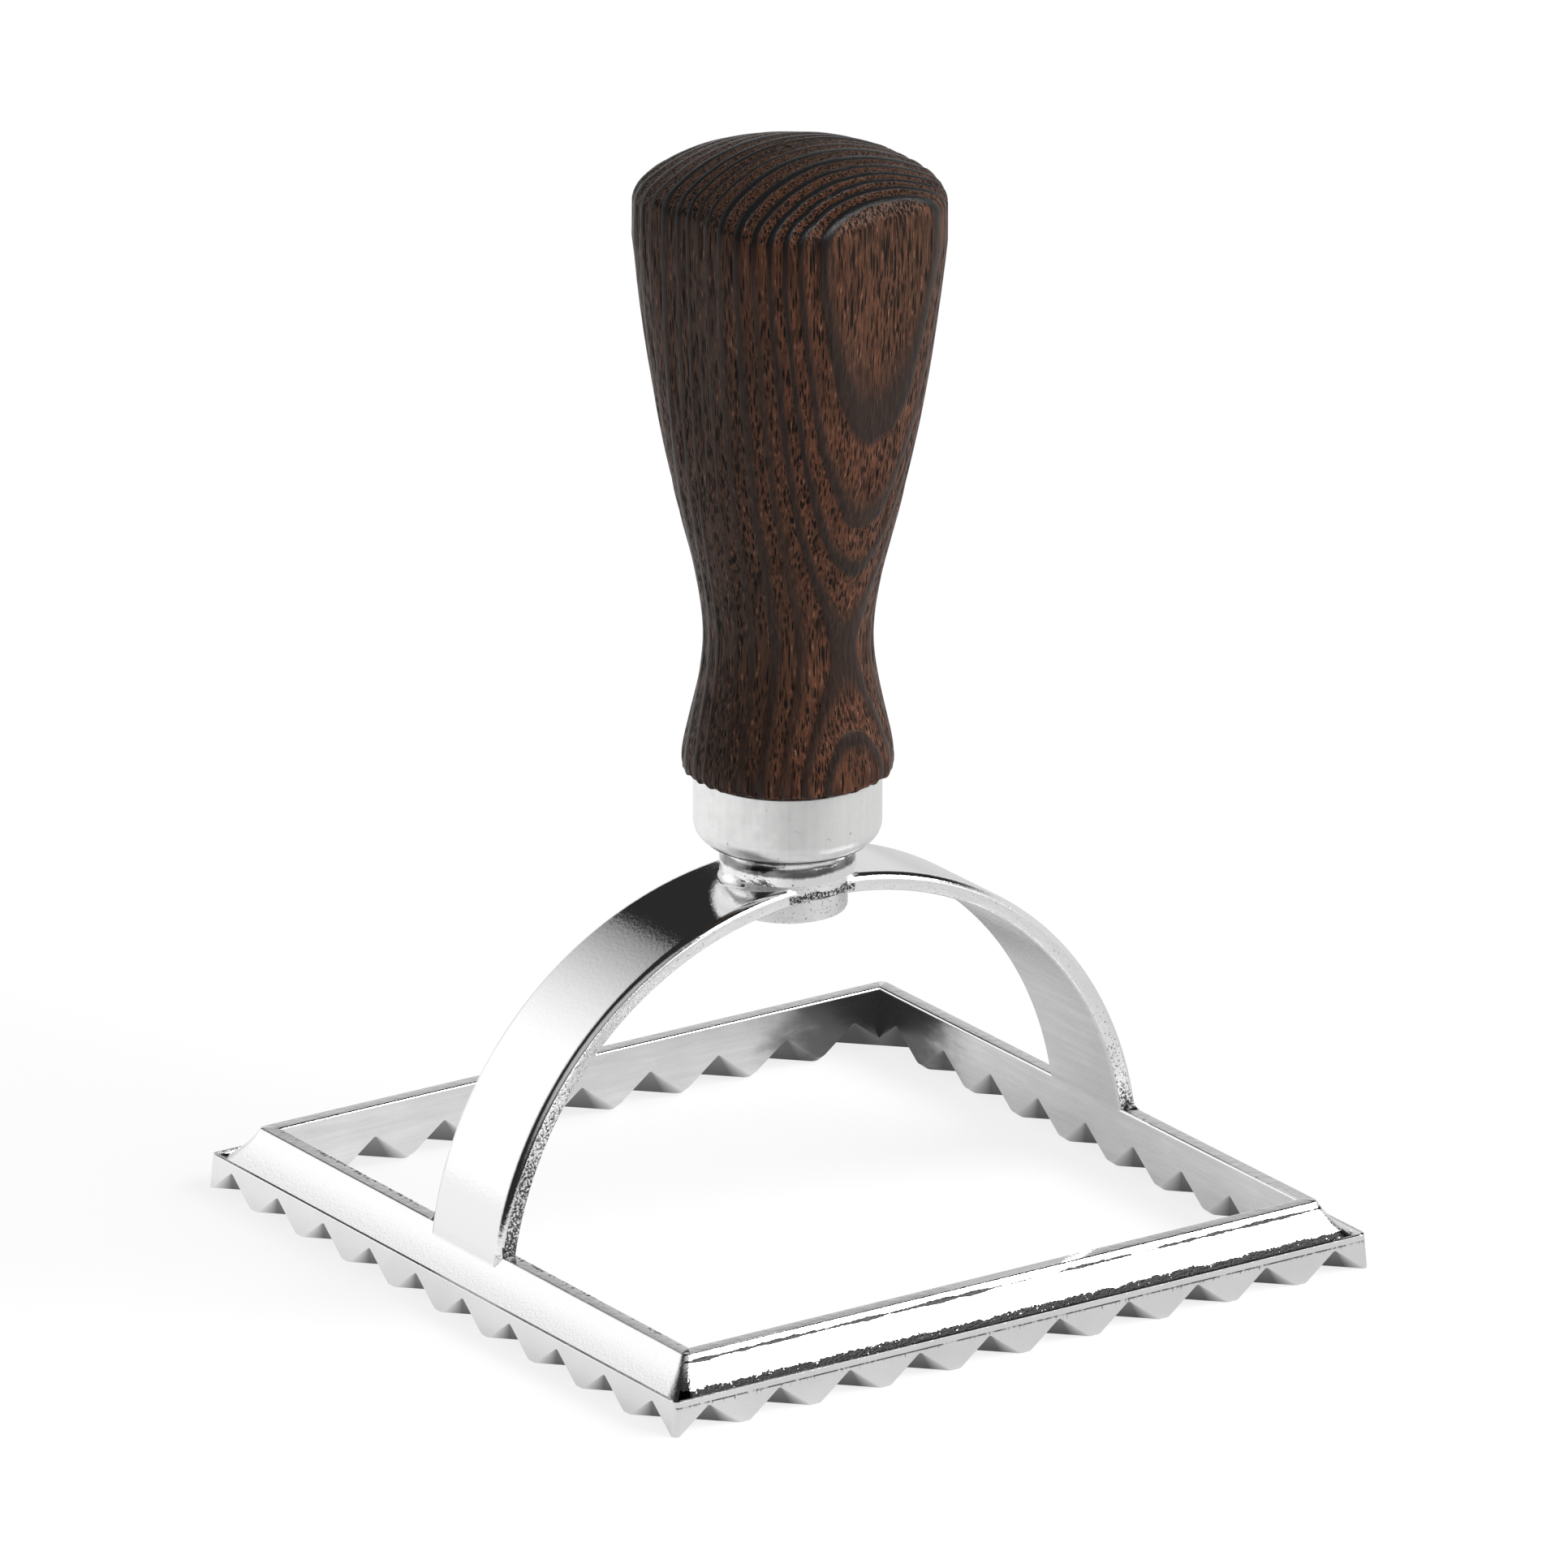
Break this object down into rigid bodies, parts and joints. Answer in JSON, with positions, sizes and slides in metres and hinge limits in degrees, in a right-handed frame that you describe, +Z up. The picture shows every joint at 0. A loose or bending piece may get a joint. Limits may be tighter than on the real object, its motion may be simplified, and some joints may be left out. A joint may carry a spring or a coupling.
{
  "type": "ravioli stamp",
  "caption": "Square ravioli stamp: a cast metal cutting frame with a zigzag edge, an arch with a hub, a ferrule and a waisted wooden handle, pressed by hand to cut and seal filled pasta.",
  "frame": {"origin": "centre of the square cutting edge, on the surface that the edge stands on", "axes": "+Z up along the handle; +X along the span of the arch; +Y across the arch band"},
  "size_m": [0.075, 0.075, 0.102],
  "materials": {
    "bright_casting": "bright plated die casting with a slightly rough skin on the upright faces",
    "satin_ferrule": "satin drawn metal",
    "dark_wood": "dark oiled open-grain hardwood",
    "screw_steel": "plain zinc-plated steel"
  },
  "bodies": {
    "root": {"cutter_casting": "bright_casting", "ferrule": "satin_ferrule", "wood_handle": "dark_wood", "handle_screw": "screw_steel"}
  },
  "joints": []
}
